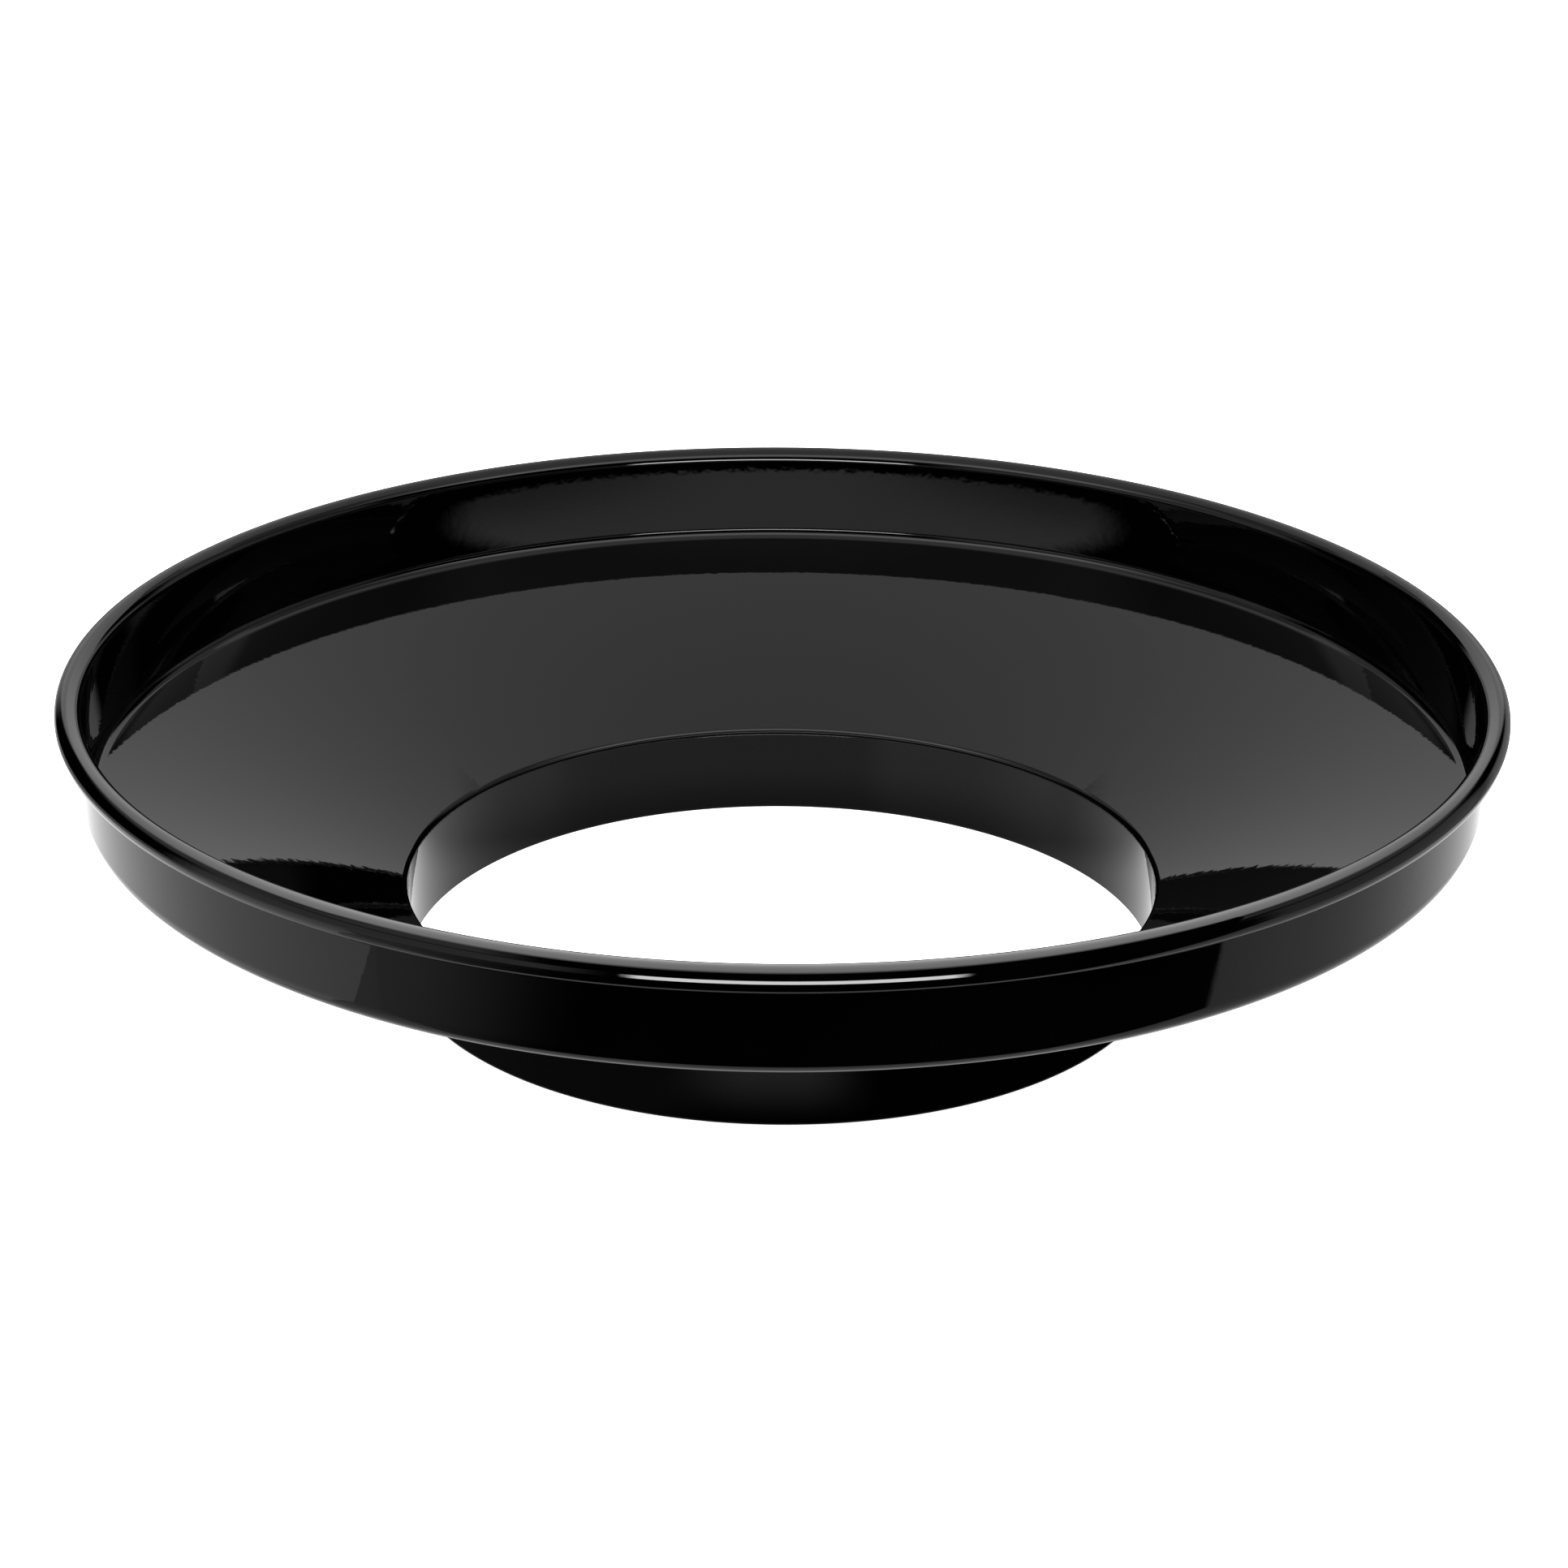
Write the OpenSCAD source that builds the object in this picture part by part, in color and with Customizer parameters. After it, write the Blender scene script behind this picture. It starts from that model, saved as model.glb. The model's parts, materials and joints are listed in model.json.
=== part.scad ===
// Dished inlet ring for a kitchen garbage disposal: a pressed and enamelled steel dish
// with a rolled rim, a sloping floor and a short open throat. The throat stands on z = 0
// and the ring's axis is the Z axis. Every piece is one turned outline.

/* [Rim] */
// Diameter over the rolled rim
rim_d = 160; // [150:1:180]
// Diameter of the roll itself, over the sheet
curl_d = 2.9; // [2.4:0.1:3.6]
// Gap between the roll's cut edge and the wall
curl_gap = 0.15; // [0.1:0.05:0.3]
// Play between the core wire and the roll around it
wire_play = 0.02; // [0.01:0.01:0.05]

/* [Sheet] */
// Thickness of the enamelled sheet
sheet_t = 0.7; // [0.5:0.1:0.7]

/* [Wall] */
// Straight length of the wall, from the roll to the floor's corner
wall_len = 8.9; // [7:0.05:14]
// Draft of the wall, narrower towards the floor
wall_draft = 1.5; // [0:0.5:8]
// Inside radius of the corner between the wall and the floor
corner_r = 1.5; // [0.8:0.1:3]

/* [Floor] */
// Mean fall of the floor towards the throat, in degrees
floor_slope = 21.6; // [15:0.1:28]
// How much the fall departs from the mean at each end of the floor, in degrees
floor_crown = 2.75; // [0.5:0.25:5]

/* [Throat] */
// Clear bore through the throat
throat_bore = 84.8; // [76:0.1:90]
// Length of the throat collar below the floor's lip
throat_len = 9.75; // [6:0.05:16]
// Radius over which the floor turns down into the throat
lip_r = 0.8; // [0.8:0.1:2]

/* [Gasket] */
// Width of the gasket's flat lower face
gasket_w = 2.7; // [2:0.1:4]
// Length of collar that the gasket covers, down from the lip
gasket_cover = 1.7; // [1.2:0.1:3]
// Play between the gasket and the steel around it
gasket_play = 0.02; // [0.01:0.01:0.05]
// Inward taper of the gasket's seat on the collar, which keeps the gasket from slipping
seat_taper = 0.1; // [0.05:0.05:0.2]

/* [Hidden] */
$fn = 128;
ARC_STEP = 7.5;
LIP_EASE = 0.15;

curl_r = curl_d / 2;
bore_r = throat_bore / 2;
collar_r = bore_r + sheet_t;
seat_z = throat_len - gasket_cover;

// A unit vector in the outline's plane, and the points of an arc about a centre.
function dir(a) = [cos(a), sin(a)];
function arc_steps(a0, a1) = max(3, ceil(abs(a1 - a0) / ARC_STEP));
function arc(c, r, a0, a1) =
    let (n = arc_steps(a0, a1))
    [for (i = [0 : n]) c + r * dir(a0 + (a1 - a0) * i / n)];

// Directions that leave the upper side of the sheet at right angles.
wall_face = 180 - wall_draft;
fall_at_wall = 90 + floor_slope - floor_crown;
fall_at_lip = 90 + floor_slope + floor_crown;

// Heights are first taken from the roll's centre, because the floor hangs from the rim.
curl_c = [rim_d / 2 - curl_r, 0];
wall_foot = curl_c + curl_r * dir(wall_face) + wall_len * dir(-90 - wall_draft);
corner_c = wall_foot + corner_r * dir(wall_face);
floor_out = corner_c - corner_r * dir(fall_at_wall);
lip_cx = bore_r + lip_r;
floor_in_x = lip_cx + lip_r * dir(fall_at_lip)[0];
floor_run = floor_out[0] - floor_in_x;
floor_in = [floor_in_x, floor_out[1] - floor_run * tan(floor_slope)];
lip_c = floor_in - lip_r * dir(fall_at_lip);
floor_r = norm(floor_out - floor_in) / 2 / sin(floor_crown);
floor_c = floor_out - floor_r * dir(fall_at_wall);

// Height of the roll's centre over the throat's foot.
rim_z = throat_len - lip_c[1];

// The roll stops short of the wall it turns back to.
curl_meets_wall = wall_face + acos((curl_r - sheet_t) / curl_r) - 360;
curl_end = curl_meets_wall + curl_gap / curl_r * 180 / PI;

// One side of the sheet, from the roll's cut edge to the lip, at a depth d into the sheet.
function sheet_side(d) = concat(
    arc(curl_c, curl_r - d, curl_end, wall_face),
    arc(corner_c, corner_r + d, wall_face - 180, fall_at_wall - 180),
    arc(floor_c, floor_r - d, fall_at_wall, fall_at_lip),
    arc(lip_c, lip_r - d, fall_at_lip, 180)
);

function reversed(list) = [for (i = [len(list) - 1 : -1 : 0]) list[i]];

// Height of the floor's underside at a radius, less some play.
function floor_under(x) =
    let (r = floor_r - sheet_t - gasket_play)
    floor_c[1] + sqrt(r * r - pow(x - floor_c[0], 2));

// The pressed dish: roll, wall, floor and the lip that turns down into the throat.
module dish_bowl() {
    color("#141414")
    translate([0, 0, rim_z])
    rotate_extrude()
    polygon(concat(sheet_side(0), reversed(sheet_side(sheet_t))));
}

// The short tube butt-joined to the dish's lip. Its top tapers in for the gasket's seat.
module throat_collar() {
    color("#1a1a1a")
    rotate_extrude()
    polygon([
        [bore_r, 0],
        [collar_r, 0],
        [collar_r, seat_z],
        [collar_r - seat_taper, throat_len],
        [bore_r, throat_len]
    ]);
}

// The steel wire that the rim is rolled around.
module rim_wire() {
    color("silver")
    translate([0, 0, rim_z])
    rotate_extrude()
    translate(curl_c) circle(r = curl_r - sheet_t - wire_play);
}

// The rubber ring on the collar's seat, flat below and sloped above like the floor.
// Its upper inner edge is cut back from the bend of the lip.
module throat_gasket() {
    inner = collar_r + gasket_play;
    outer = inner + gasket_w;
    bend_end = lip_cx + (lip_r - sheet_t) * dir(fall_at_lip)[0];
    eased = max(collar_r, bend_end) + LIP_EASE;
    color("#303030")
    rotate_extrude()
    polygon([
        [inner, seat_z],
        [outer, seat_z],
        [outer, rim_z + floor_under(outer)],
        [eased, rim_z + floor_under(eased)],
        [inner - seat_taper, throat_len]
    ]);
}

dish_bowl();
throat_collar();
rim_wire();
throat_gasket();
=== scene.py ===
import json
import math
from collections import namedtuple

import bmesh
import bpy
from mathutils import Matrix, Vector


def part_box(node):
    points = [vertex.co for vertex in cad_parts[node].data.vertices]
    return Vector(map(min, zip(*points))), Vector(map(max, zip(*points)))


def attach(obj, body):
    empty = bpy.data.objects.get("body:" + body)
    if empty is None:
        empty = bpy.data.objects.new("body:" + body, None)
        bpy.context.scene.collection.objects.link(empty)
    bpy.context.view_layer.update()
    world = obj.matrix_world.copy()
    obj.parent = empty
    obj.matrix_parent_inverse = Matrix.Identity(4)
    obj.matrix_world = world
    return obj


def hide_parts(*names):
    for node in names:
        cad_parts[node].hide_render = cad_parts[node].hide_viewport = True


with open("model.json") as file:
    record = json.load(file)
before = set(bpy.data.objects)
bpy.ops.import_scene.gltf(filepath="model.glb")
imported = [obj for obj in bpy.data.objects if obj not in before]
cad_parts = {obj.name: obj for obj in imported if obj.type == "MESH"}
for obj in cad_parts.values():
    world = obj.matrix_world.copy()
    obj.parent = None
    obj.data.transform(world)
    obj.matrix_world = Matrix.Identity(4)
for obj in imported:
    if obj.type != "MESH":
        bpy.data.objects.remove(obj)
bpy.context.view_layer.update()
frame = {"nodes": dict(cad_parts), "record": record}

MM = 0.001


# ---------------------------------------------------------------- sizes from the frame

def reach(node):
    """The largest distance of a node's surface from the Z axis."""
    return max(math.hypot(v.co.x, v.co.y) for v in frame["nodes"][node].data.vertices)


def mount(name):
    """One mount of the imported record."""
    return next(m for m in frame["record"]["mounts"] if m["name"] == name)


BORE_R = mount("throat_bore")["dims"]["r_mm"] * MM
COLLAR_R = mount("throat_spigot")["dims"]["r_mm"] * MM
COLLAR_TOP = mount("throat_bore")["dims"]["length_mm"] * MM
SEAT_Z = mount("gasket_face")["pos_m"][2]
SHEET = COLLAR_R - BORE_R
GASKET_R = reach("throat_gasket")
GASKET_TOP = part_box("throat_gasket")[1].z
RIM_R = reach("dish_bowl")
RIM_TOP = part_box("dish_bowl")[1].z
RIM_Z = sum(corner.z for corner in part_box("rim_wire")) / 2
CURL_R = RIM_TOP - RIM_Z
WIRE_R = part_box("rim_wire")[1].z - RIM_Z

# The dish's own shape, as the frame was drawn.
WALL_LENGTH = 8.9 * MM
WALL_DRAFT = 1.5
CORNER_R = 1.5 * MM
LIP_R = 0.8 * MM
FLOOR_CROWN = 2.75
CURL_GAP = 0.15 * MM
SEAT_TAPER = 0.1 * MM
GASKET_PLAY = 0.02 * MM

# Rounded edges that the frame's solids leave sharp.
CUT_EDGE_R = 0.15 * MM
GASKET_EDGE = 0.35 * MM

# The gasket's top follows the floor down to a nose, placed from the collar's top edge.
NOSE_OUT = 0.25 * MM
NOSE_UP = 0.3 * MM

# How finely the outlines are drawn and turned. EASE is the length of the short face that
# a run has at each end.
EASE = 0.06 * MM
ARC_STEP = 4.0
EDGE_STEPS = 5
CUT_END_STEPS = 8
FLOOR_STEPS = 24
WIRE_STEPS = 20
TURN_STEPS = 300

# The enamel's orange peel.
PEEL_SIZE = 1.1 * MM
PEEL_HEIGHT = 0.003 * MM

# The studio. Degrees round run from the camera's side, above zero to its right.
ALL_ROUND = (-400, 400)
WHITE_LEVEL = 2.6
FLOOR_GLOW = 0.72
FLOOR_REACH = 20
CARD_STEPS = 48

# The camera, in rim radii from the middle of the roll, and its angles in degrees.
CAMERA_PLACE = Vector((0.0027, -5.135, 1.9766))
CAMERA_FALL = 22.62
CAMERA_ROLL = 0.36
LENS = 90.70


# ---------------------------------------------------------------- drawing and turning

def toward(degrees):
    """A unit vector in the XZ plane, turned from +X towards +Z."""
    a = math.radians(degrees)
    return Vector((math.cos(a), 0, math.sin(a)))


class Outline:
    """A closed outline in the XZ plane, drawn with lines and arcs and turned about Z."""

    def __init__(self, start):
        self.bm = bmesh.new()
        self.first = self.bm.verts.new(start)
        self.tip = self.first

    def line(self, end):
        """A straight run. A long one has a short face at each end, to keep it shaded flat."""
        start = self.tip.co.copy()
        along = (end - start).normalized()
        stops = [end]
        if (end - start).length > 4 * EASE:
            stops = [start + along * EASE, end - along * EASE, end]
        for stop in stops:
            made = bmesh.ops.extrude_vert_indiv(self.bm, verts=[self.tip])
            self.tip = made["verts"][0]
            self.tip.co = stop
        return self

    def sweep(self, centre, degrees, steps):
        """A plain arc in equal steps."""
        made = bmesh.ops.spin(
            self.bm, geom=[self.tip], cent=centre, axis=(0, -1, 0), dvec=(0, 0, 0),
            angle=math.radians(degrees), steps=steps, use_merge=False, use_duplicate=False)
        self.tip = next(g for g in made["geom_last"] if isinstance(g, bmesh.types.BMVert))

    def arc(self, centre, degrees, steps=0):
        """An arc about a centre, counter-clockwise when degrees is above zero."""
        steps = steps or max(2, math.ceil(abs(degrees) / ARC_STEP))
        # A long arc has a short face at each end, as a straight run has.
        ease = math.degrees(EASE / (self.tip.co - centre).length)
        if abs(degrees) < 4 * ease:
            self.sweep(centre, degrees, steps)
            return self
        ease = math.copysign(ease, degrees)
        self.sweep(centre, ease, 1)
        self.sweep(centre, degrees - 2 * ease, steps)
        self.sweep(centre, ease, 1)
        return self

    def turned(self, name):
        """The piece that the outline makes when it is closed and turned once about Z."""
        bm = self.bm
        bmesh.ops.contextual_create(bm, geom=[self.tip, self.first])
        bmesh.ops.remove_doubles(bm, verts=bm.verts, dist=1e-7)
        bmesh.ops.spin(
            bm, geom=bm.verts[:] + bm.edges[:], cent=(0, 0, 0), axis=(0, 0, 1),
            dvec=(0, 0, 0), angle=math.tau, steps=TURN_STEPS, use_merge=True,
            use_duplicate=False)
        bmesh.ops.recalc_face_normals(bm, faces=bm.faces)
        for face in bm.faces:
            face.smooth = True
        mesh = bpy.data.meshes.new(name)
        bm.to_mesh(mesh)
        bm.free()
        piece = bpy.data.objects.new(name, mesh)
        bpy.context.scene.collection.objects.link(piece)
        return piece


# ---------------------------------------------------------------- the pieces

Bends = namedtuple("Bends", "roll foot corner floor lip wall_face outer_face inner_face")


def dish_bends():
    """Where the dish bends, from the roll down to the lip, and which way its faces look."""
    wall_face = 180 - WALL_DRAFT
    roll = Vector((RIM_R - CURL_R, 0, RIM_Z))
    foot = roll + CURL_R * toward(wall_face) + WALL_LENGTH * toward(-90 - WALL_DRAFT)
    corner = foot + CORNER_R * toward(wall_face)
    lip = Vector((BORE_R + LIP_R, 0, COLLAR_TOP))
    # The floor's fall and its two ends depend on each other, and settle in a few rounds.
    fall = 20.0
    for _ in range(20):
        outer_face = 90 + fall - FLOOR_CROWN
        inner_face = 90 + fall + FLOOR_CROWN
        outer = corner - CORNER_R * toward(outer_face)
        inner = lip + LIP_R * toward(inner_face)
        fall = math.degrees(math.atan2(outer.z - inner.z, outer.x - inner.x))
    floor_r = (outer - inner).length / 2 / math.sin(math.radians(FLOOR_CROWN))
    floor = outer - floor_r * toward(outer_face)
    return Bends(roll, foot, corner, floor, lip, wall_face, outer_face, inner_face)


def dish_shell():
    """The pressed dish: rolled rim, wall, floor and the lip that turns down."""
    at = dish_bends()
    inner_r = CURL_R - SHEET
    meets_wall = at.wall_face + math.degrees(math.acos(inner_r / CURL_R)) - 360
    roll_end = meets_wall + math.degrees((CURL_GAP + CUT_EDGE_R) / CURL_R)

    # Upper side: over the roll, down the wall, along the floor and round the lip.
    outline = Outline(at.roll + CURL_R * toward(roll_end))
    outline.arc(at.roll, at.wall_face - roll_end)
    outline.line(at.foot)
    outline.arc(at.corner, at.outer_face - at.wall_face)
    outline.arc(at.floor, at.inner_face - at.outer_face, FLOOR_STEPS)
    outline.arc(at.lip, 180 - at.inner_face)

    # Underside, back to the roll's cut edge, which is rounded by its coat.
    outline.line(Vector((COLLAR_R, 0, COLLAR_TOP)))
    outline.arc(at.lip, at.inner_face - 180)
    outline.arc(at.floor, at.outer_face - at.inner_face, FLOOR_STEPS)
    outline.arc(at.corner, at.wall_face - at.outer_face)
    outline.line(at.roll + inner_r * toward(at.wall_face))
    outline.arc(at.roll, roll_end - at.wall_face)
    cut_end = at.roll + (CURL_R - SHEET / 2) * toward(roll_end)
    outline.arc(cut_end, -180, CUT_END_STEPS)
    return outline.turned("dish_shell")


def throat_tube():
    """The collar below the lip: a rounded foot, and a seat that tapers in at its top."""
    foot_in = Vector((BORE_R + CUT_EDGE_R, 0, CUT_EDGE_R))
    foot_out = Vector((COLLAR_R - CUT_EDGE_R, 0, CUT_EDGE_R))
    outline = Outline(Vector((BORE_R, 0, COLLAR_TOP)))
    outline.line(Vector((BORE_R, 0, CUT_EDGE_R)))
    outline.arc(foot_in, 90, EDGE_STEPS)
    outline.line(Vector((COLLAR_R - CUT_EDGE_R, 0, 0)))
    outline.arc(foot_out, 90, EDGE_STEPS)
    outline.line(Vector((COLLAR_R, 0, SEAT_Z)))
    outline.line(Vector((COLLAR_R - SEAT_TAPER, 0, COLLAR_TOP)))
    return outline.turned("throat_tube")


def core_wire():
    """The round steel wire that the rim is rolled around."""
    centre = Vector((RIM_R - CURL_R, 0, RIM_Z))
    outline = Outline(centre + WIRE_R * toward(0))
    outline.sweep(centre, 350, WIRE_STEPS)
    return outline.turned("core_wire")


def gasket_ring():
    """The moulded rubber ring on the collar's seat, with rounded edges."""
    inner = COLLAR_R + GASKET_PLAY
    low = SEAT_Z + GASKET_EDGE
    top_out = GASKET_TOP - GASKET_EDGE
    nose = Vector((COLLAR_R + NOSE_OUT, 0, COLLAR_TOP + NOSE_UP))
    outline = Outline(Vector((inner, 0, low)))
    outline.arc(Vector((inner + GASKET_EDGE, 0, low)), 90, EDGE_STEPS)
    outline.line(Vector((GASKET_R - GASKET_EDGE, 0, SEAT_Z)))
    outline.arc(Vector((GASKET_R - GASKET_EDGE, 0, low)), 90, EDGE_STEPS)
    outline.line(Vector((GASKET_R, 0, top_out)))
    outline.line(nose)
    outline.line(Vector((inner - SEAT_TAPER, 0, COLLAR_TOP)))
    return outline.turned("gasket_ring")


# ---------------------------------------------------------------- materials

def new_material(name, **sockets):
    """A material with one Principled shader, its constant sockets set by name."""
    material = bpy.data.materials.new(name)
    material.use_nodes = True
    shader = material.node_tree.nodes["Principled BSDF"]
    for socket, value in sockets.items():
        shader.inputs[socket.replace("_", " ")].default_value = value
    return material, material.node_tree, shader


def node(tree, kind, inputs=None, **settings):
    """One node with its settings, and inputs given as values or as sockets to link."""
    made = tree.nodes.new(kind)
    for key, value in settings.items():
        setattr(made, key, value)
    for key, value in (inputs or {}).items():
        if isinstance(value, bpy.types.NodeSocket):
            tree.links.new(value, made.inputs[key])
        else:
            made.inputs[key].default_value = value
    return made


def noise(tree, place, size, detail=2.0, roughness=0.5):
    """Noise whose features are about size metres across."""
    return node(tree, "ShaderNodeTexNoise", {
        "Vector": place, "Scale": 1 / size, "Detail": detail, "Roughness": roughness})


def spread(tree, value, low, high):
    """Noise from its usual span to the span low..high."""
    return node(tree, "ShaderNodeMapRange", {
        "Value": value, "From Min": 0.3, "From Max": 0.7, "To Min": low, "To Max": high})


def enamel(name):
    """Gloss black fired enamel: near-black glass with a slight orange peel."""
    material, tree, shader = new_material(name, Specular_IOR_Level=0.5, IOR=1.5)
    place = node(tree, "ShaderNodeTexCoord").outputs["Object"]
    cloud = noise(tree, place, 14 * MM, 3)
    tone = node(tree, "ShaderNodeMix", {
        "Factor": spread(tree, cloud.outputs["Fac"], 0, 1).outputs["Result"],
        "A": (0.0001, 0.0001, 0.0001, 1), "B": (0.0003, 0.0003, 0.0003, 1)},
        data_type="RGBA")
    tree.links.new(tone.outputs[2], shader.inputs["Base Color"])
    film = noise(tree, place, 5 * MM, 4)
    tree.links.new(spread(tree, film.outputs["Fac"], 0.008, 0.022).outputs["Result"],
                   shader.inputs["Roughness"])
    peel = noise(tree, place, PEEL_SIZE, 1.0)
    bump = node(tree, "ShaderNodeBump", {
        "Height": peel.outputs["Fac"], "Distance": PEEL_HEIGHT, "Strength": 1.0})
    tree.links.new(bump.outputs["Normal"], shader.inputs["Normal"])
    return material


def rubber():
    """Matt black rubber with a fine grain."""
    material, tree, shader = new_material("gasket_rubber", Specular_IOR_Level=0.4)
    place = node(tree, "ShaderNodeTexCoord").outputs["Object"]
    bloom = noise(tree, place, 3 * MM, 4)
    tone = node(tree, "ShaderNodeMix", {
        "Factor": spread(tree, bloom.outputs["Fac"], 0, 1).outputs["Result"],
        "A": (0.012, 0.012, 0.012, 1), "B": (0.022, 0.021, 0.020, 1)},
        data_type="RGBA")
    tree.links.new(tone.outputs[2], shader.inputs["Base Color"])
    tree.links.new(spread(tree, bloom.outputs["Fac"], 0.55, 0.75).outputs["Result"],
                   shader.inputs["Roughness"])
    grain = noise(tree, place, 0.3 * MM, 3)
    bump = node(tree, "ShaderNodeBump", {
        "Height": grain.outputs["Fac"], "Distance": 0.03 * MM, "Strength": 0.6})
    tree.links.new(bump.outputs["Normal"], shader.inputs["Normal"])
    return material


def wire_steel():
    """Bare drawn steel wire, unevenly dulled."""
    material, tree, shader = new_material("rim_wire_steel", Metallic=1.0)
    place = node(tree, "ShaderNodeTexCoord").outputs["Object"]
    scale = noise(tree, place, 1.5 * MM, 4)
    tone = node(tree, "ShaderNodeMix", {
        "Factor": spread(tree, scale.outputs["Fac"], 0, 1).outputs["Result"],
        "A": (0.42, 0.41, 0.40, 1), "B": (0.28, 0.26, 0.25, 1)},
        data_type="RGBA")
    tree.links.new(tone.outputs[2], shader.inputs["Base Color"])
    tree.links.new(spread(tree, scale.outputs["Fac"], 0.3, 0.5).outputs["Result"],
                   shader.inputs["Roughness"])
    return material


def finish(piece, material, cad_node):
    """Gives a piece its material and its body, and hides the CAD node it stands for."""
    piece.data.materials.append(material)
    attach(piece, "root")
    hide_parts(cad_node)


# ---------------------------------------------------------------- the studio

def smooth(tree, value, low, high):
    """0 below low and 1 above high, or the other way round, with a soft step between."""
    step = node(tree, "ShaderNodeMapRange", {
        "Value": value, "From Min": low, "From Max": high},
        interpolation_type="SMOOTHSTEP")
    return step.outputs["Result"]


def maths(tree, operation, *values):
    """One sum, with numbers or sockets as its values."""
    return node(tree, "ShaderNodeMath", dict(enumerate(values)),
                operation=operation).outputs[0]


def times(tree, first, *others):
    """The product of two or more values."""
    for value in others:
        first = maths(tree, "MULTIPLY", first, value)
    return first


def bearing(tree, part):
    """Degrees round the Z axis from the camera's side, and the distance from the axis."""
    forward = maths(tree, "MULTIPLY", part.outputs["Y"], -1.0)
    turn = maths(tree, "ARCTAN2", part.outputs["X"], forward)
    flat = node(tree, "ShaderNodeCombineXYZ", {
        "X": part.outputs["X"], "Y": part.outputs["Y"]})
    far = node(tree, "ShaderNodeVectorMath", {0: flat.outputs[0]}, operation="LENGTH")
    return maths(tree, "DEGREES", turn), far.outputs["Value"]


def panel(tree, azimuth, elevation, across, upward, soft, strength, total):
    """Adds a soft-edged bright panel, in degrees round and degrees up."""
    half = soft / 2
    shape = times(tree,
                  smooth(tree, azimuth, across[0] - half, across[0] + half),
                  smooth(tree, azimuth, across[1] + half, across[1] - half),
                  smooth(tree, elevation, upward[0] - half, upward[0] + half),
                  smooth(tree, elevation, upward[1] + half, upward[1] - half))
    return maths(tree, "MULTIPLY_ADD", shape, strength, total)


def studio_world():
    """Soft white light all round, and panels that only the gloss reflects."""
    world = bpy.data.worlds.new("studio")
    bpy.context.scene.world = world
    world.use_nodes = True
    tree = world.node_tree
    tree.nodes.clear()
    ray = node(tree, "ShaderNodeTexCoord").outputs["Generated"]
    part = node(tree, "ShaderNodeSeparateXYZ", {"Vector": ray})
    azimuth, _ = bearing(tree, part)
    elevation = maths(tree, "DEGREES", maths(tree, "ARCSINE", part.outputs["Z"]))

    # The white ground, brighter towards the back.
    back = maths(tree, "MAXIMUM", part.outputs["Y"], 0.0)
    lift = times(tree, back, back, 1.15)
    side = maths(tree, "MULTIPLY_ADD", smooth(tree, part.outputs["Y"], -0.5, 0.0),
                 0.10, 0.34)
    ground = maths(tree, "ADD", lift, side)
    panels = [
        # (across, upward, strength, soft)
        ((-100, 400), (-200, -21.2), ground, 1.0),
        ((-400, -100), (-200, -21.8), ground, 1.0),
        # The overhead diffuser, which comes down to the horizon behind the ring.
        (ALL_ROUND, (64, 200), 0.68, 8),
        ((-84, 84), (30, 64), 0.48, 8),
        ((84, 150), (26, 64), 0.34, 8),
        ((-150, -84), (26, 64), 0.34, 8),
        ((153, 400), (8, 64), 0.67, 6),
        ((-400, -153), (8, 64), 0.67, 6),
        ((132, 400), (-20, 8), 0.36, 8),
        ((-400, -150), (-20, 8), 0.36, 8),
        # The long softbox in front, at the ring's own height.
        ((-21.5, 26), (-18, 8.5), 15.0, 4),
        # Grey fill cards at the two sides.
        ((-98, -30), (-20, 26), 0.45, 14),
        ((76, 130), (-20, 22), 0.30, 10)]
    total = 0.0
    for across, upward, strength, soft in panels:
        total = panel(tree, azimuth, elevation, across, upward, soft, strength, total)

    seen_by = node(tree, "ShaderNodeLightPath")
    strength = node(tree, "ShaderNodeMix", {
        "Factor": seen_by.outputs["Is Glossy Ray"], "A": WHITE_LEVEL, "B": total},
        data_type="FLOAT")
    light = node(tree, "ShaderNodeBackground", {
        "Color": (1, 1, 1, 1), "Strength": strength.outputs[0]})
    out = node(tree, "ShaderNodeOutputWorld")
    tree.links.new(light.outputs["Background"], out.inputs["Surface"])


def stage_piece(name, bm, material):
    """A piece of the studio, which is no part of the ring."""
    mesh = bpy.data.meshes.new(name)
    bm.to_mesh(mesh)
    bm.free()
    piece = bpy.data.objects.new(name, mesh)
    bpy.context.scene.collection.objects.link(piece)
    piece.data.materials.append(material)
    return piece


Spot = namedtuple("Spot", "x y azimuth distance")


def card_material(name, paint):
    """A card's own light, and what share of the light behind it passes.

    paint(tree, spot) gives the two as numbers or sockets.
    """
    material = bpy.data.materials.new(name)
    material.use_nodes = True
    tree = material.node_tree
    tree.nodes.clear()
    place = node(tree, "ShaderNodeTexCoord").outputs["Object"]
    part = node(tree, "ShaderNodeSeparateXYZ", {"Vector": place})
    spot = Spot(part.outputs["X"], part.outputs["Y"], *bearing(tree, part))
    own, passed = paint(tree, spot)
    light = node(tree, "ShaderNodeEmission", {"Strength": own})
    grey = node(tree, "ShaderNodeCombineColor", {
        "Red": passed, "Green": passed, "Blue": passed})
    clear = node(tree, "ShaderNodeBsdfTransparent", {"Color": grey.outputs[0]})
    both = node(tree, "ShaderNodeAddShader", {0: light.outputs[0], 1: clear.outputs[0]})
    out = node(tree, "ShaderNodeOutputMaterial")
    tree.links.new(both.outputs[0], out.inputs["Surface"])
    return material


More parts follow.
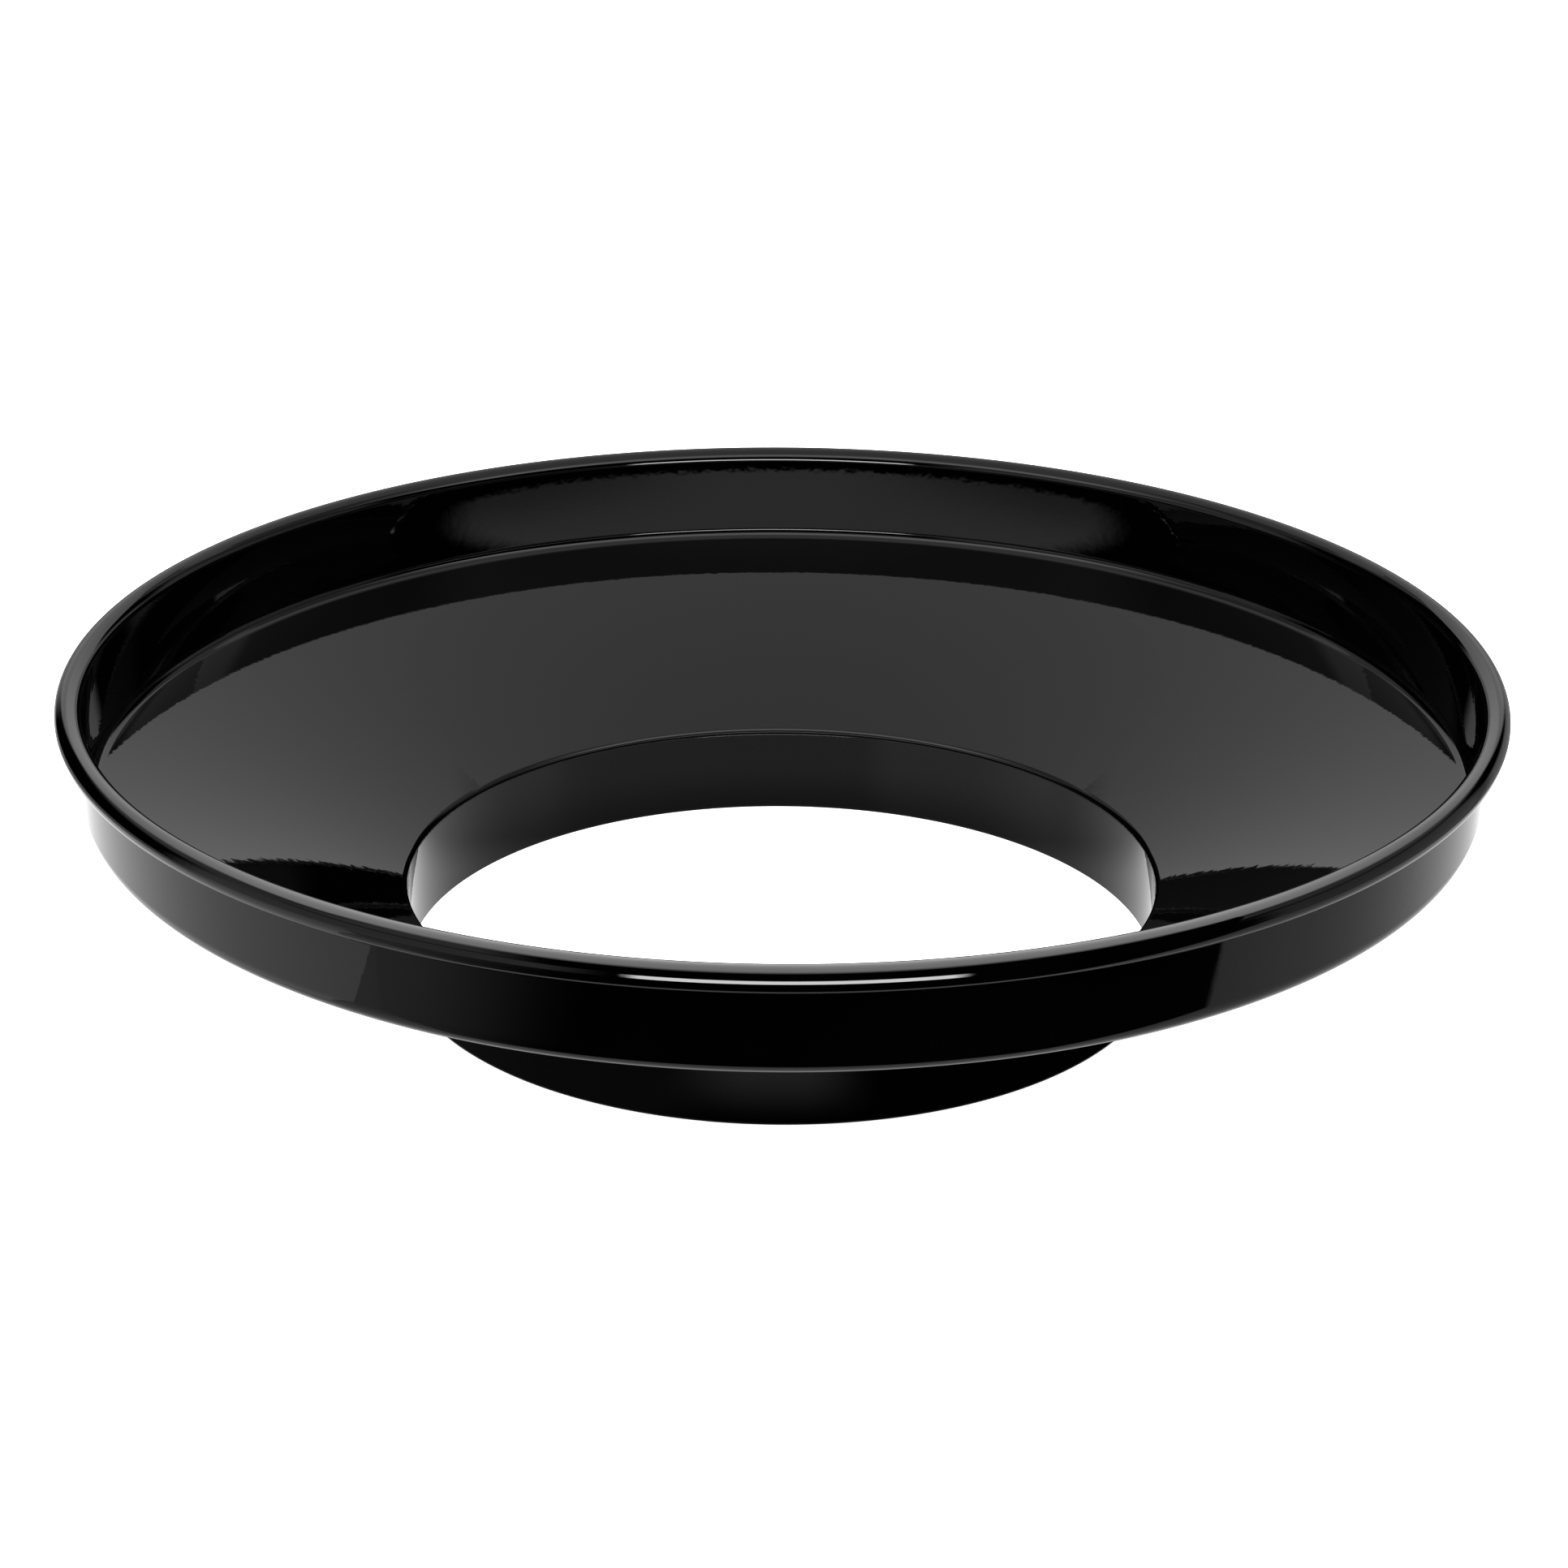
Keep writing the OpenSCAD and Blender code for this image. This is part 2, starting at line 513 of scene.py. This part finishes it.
def card(name, inner, outer, left, right, z, paint):
    """A level ring sector round the axis that only the gloss sees."""
    bm = bmesh.new()
    near = bm.verts.new((0, -inner, z))
    far = bm.verts.new((0, -outer, z))
    edge = bm.edges.new((near, far))
    centre = (0, 0, 0)
    bmesh.ops.rotate(bm, verts=bm.verts, cent=centre,
                     matrix=Matrix.Rotation(math.radians(left), 3, "Z"))
    bmesh.ops.spin(bm, geom=[near, far, edge], cent=centre, axis=(0, 0, 1),
                   dvec=(0, 0, 0), angle=math.radians(right - left), steps=CARD_STEPS,
                   use_merge=False, use_duplicate=False)
    piece = stage_piece(name, bm, card_material(name, paint))
    piece.visible_camera = False
    piece.visible_diffuse = False
    piece.visible_shadow = False
    piece.visible_transmission = False
    piece.visible_volume_scatter = False


def front_flag(tree, spot):
    """Black ground beyond two slanting edges before the ring, glowing at its left end."""
    left_edge = maths(tree, "MULTIPLY_ADD", spot.x, 0.4, -52.8 * MM)
    right_edge = maths(tree, "MULTIPLY_ADD", spot.x, -0.1, -71.2 * MM)
    edge = maths(tree, "MINIMUM", left_edge, right_edge)
    passed = smooth(tree, maths(tree, "SUBTRACT", spot.y, edge), -1 * MM, 1 * MM)
    black = maths(tree, "SUBTRACT", 1.0, passed)
    return times(tree, black, smooth(tree, spot.azimuth, -20, -46), 0.32), passed


def left_lift(tree, spot):
    """A glow on the ground at the left, fading in beside the rim and out again."""
    fade_in = smooth(tree, spot.distance, 84 * MM, 92 * MM)
    fade_out = smooth(tree, spot.distance, 260 * MM, 180 * MM)
    return times(tree, fade_in, fade_out, 0.36), 1.0


def throat_top(tree, spot):
    """Black over the throat, with a lens of painted light towards its back, which the inner
    wall shows as a painted reflection.
    """
    flat = node(tree, "ShaderNodeCombineXYZ", {
        "X": spot.x, "Y": maths(tree, "ADD", spot.y, -18.7 * MM)})
    off = node(tree, "ShaderNodeVectorMath", {0: flat.outputs[0]}, operation="LENGTH")
    lens = times(tree, smooth(tree, off.outputs["Value"], 28 * MM, 25 * MM),
                 smooth(tree, spot.distance, 37.8 * MM, 32.5 * MM))
    across = smooth(tree, maths(tree, "ABSOLUTE", spot.x), 4 * MM, 26 * MM)
    return times(tree, maths(tree, "MULTIPLY_ADD", across, -0.28, 0.53), lens), 0.0


def throat_shade(tree, spot):
    """Dims the ground in the throat towards its wall, in the middle of its width."""
    across = smooth(tree, maths(tree, "ABSOLUTE", spot.x), 36 * MM, 26 * MM)
    outward = smooth(tree, spot.distance, 28 * MM, 43.5 * MM)
    return 0.0, maths(tree, "SUBTRACT", 1.0, times(tree, outward, across, 0.5))


def neck_shade(tree, spot):
    """Painted shade: black ground under the dish, with a grey patch of painted glow in front of
    the collar.
    """
    # The patch and its faint left part are painted glow, which the collar's outer wall shows as
    # a painted reflection.
    patch = times(tree, smooth(tree, spot.azimuth, -21, -5),
                  smooth(tree, spot.azimuth, 17, 3),
                  smooth(tree, spot.distance, 42.5 * MM, 56 * MM), 0.31)
    faint = times(tree, smooth(tree, spot.azimuth, -8, -20), 0.05)
    return maths(tree, "ADD", patch, faint), 0.0


def rim_fill(tree, spot):
    """Light over the front of the dish for the inner side of the roll, strongest in front."""
    near = times(tree, smooth(tree, spot.y, -30 * MM, -76 * MM), 2.2)
    base = maths(tree, "MULTIPLY_ADD", smooth(tree, spot.y, 30 * MM, -30 * MM), 0.5, 0.75)
    edge = smooth(tree, spot.distance, 83 * MM, 80 * MM)
    return times(tree, maths(tree, "ADD", near, base), edge), maths(tree, "SUBTRACT", 1.0, edge)


def top_light(tree, spot):
    """The lamp above, brighter to the front, dimmer at both sides of the back."""
    front = smooth(tree, spot.y, -64 * MM, -54 * MM)
    dip = times(tree, smooth(tree, spot.y, 40 * MM, 62 * MM),
                smooth(tree, spot.y, 128 * MM, 116 * MM),
                smooth(tree, maths(tree, "ABSOLUTE", spot.x), 30 * MM, 40 * MM))
    even = maths(tree, "MULTIPLY_ADD", dip, -0.38, 0.66)
    glow = maths(tree, "MULTIPLY_ADD", smooth(tree, spot.y, 28 * MM, -20 * MM), 1.5, even)
    return times(tree, glow, front), maths(tree, "SUBTRACT", 1.0, front)


def high_flag(tree, spot):
    """Black above the front, open at its left end."""
    return 0.0, smooth(tree, spot.azimuth, -26, -38)


def cards():
    """The small reflectors and flags that are placed close to the ring."""
    in_bore = BORE_R - MM / 20
    by_collar = COLLAR_R + MM / 20
    middle = MM / 100
    ground = 0.2 * MM
    rows = [
        # (name, inner, outer, left, right, z, paint)
        ("top_light", middle, 150 * MM, -180, 180, RIM_Z + 105 * MM, top_light),
        ("high_flag", 109 * MM, 260 * MM, -40, 58, RIM_Z + 60 * MM, high_flag),
        ("front_flag", 83 * MM, 200 * MM, -62, 62, 1.5 * ground, front_flag),
        ("left_lift", 84 * MM, 270 * MM, -165, -47, ground, left_lift),
        ("throat_shade", 20 * MM, in_bore, -180, 180, ground, throat_shade),
        ("neck_shade", by_collar, 58 * MM, -75, 75, ground, neck_shade),
        ("throat_top", middle, in_bore, -180, 180, COLLAR_TOP, throat_top),
        ("rim_fill", 44 * MM, 84 * MM, -115, 115, RIM_Z + 8 * MM, rim_fill)]
    for row in rows:
        card(*row)


def floor_plane():
    """A wide pale sheet, lit evenly from within so that its shadows stay faint."""
    bm = bmesh.new()
    bmesh.ops.create_grid(bm, x_segments=1, y_segments=1, size=FLOOR_REACH)
    material, tree, shader = new_material(
        "pale_floor", Roughness=0.9, Specular_IOR_Level=0.0,
        Emission_Color=(1, 1, 1, 1), Emission_Strength=FLOOR_GLOW)
    place = node(tree, "ShaderNodeTexCoord").outputs["Object"]
    cloud = noise(tree, place, 0.4, 2)
    tone = node(tree, "ShaderNodeMix", {
        "Factor": cloud.outputs["Fac"], "A": (0.88, 0.88, 0.88, 1),
        "B": (0.9, 0.9, 0.9, 1)}, data_type="RGBA")
    tree.links.new(tone.outputs[2], shader.inputs["Base Color"])
    floor = stage_piece("pale_floor", bm, material)
    floor.visible_glossy = False


def camera():
    """A long lens, a little above the ring and square to its front."""
    data = bpy.data.cameras.new("camera")
    data.sensor_width = 36
    data.lens = LENS
    data.clip_start = 0.01
    made = bpy.data.objects.new("camera", data)
    bpy.context.scene.collection.objects.link(made)
    place = Matrix.Translation(CAMERA_PLACE * RIM_R + Vector((0, 0, RIM_Z)))
    pitch = Matrix.Rotation(math.radians(90 - CAMERA_FALL), 4, "X")
    roll = Matrix.Rotation(math.radians(CAMERA_ROLL), 4, "Z")
    made.matrix_world = place @ pitch @ roll
    bpy.context.scene.camera = made


# ---------------------------------------------------------------- building it all

camera()
black = enamel("black_enamel")
finish(dish_shell(), black, "dish_bowl")
finish(throat_tube(), enamel("collar_enamel"), "throat_collar")
finish(core_wire(), wire_steel(), "rim_wire")
finish(gasket_ring(), rubber(), "throat_gasket")

floor_plane()
cards()
studio_world()
bpy.context.scene.view_settings.view_transform = "Standard"
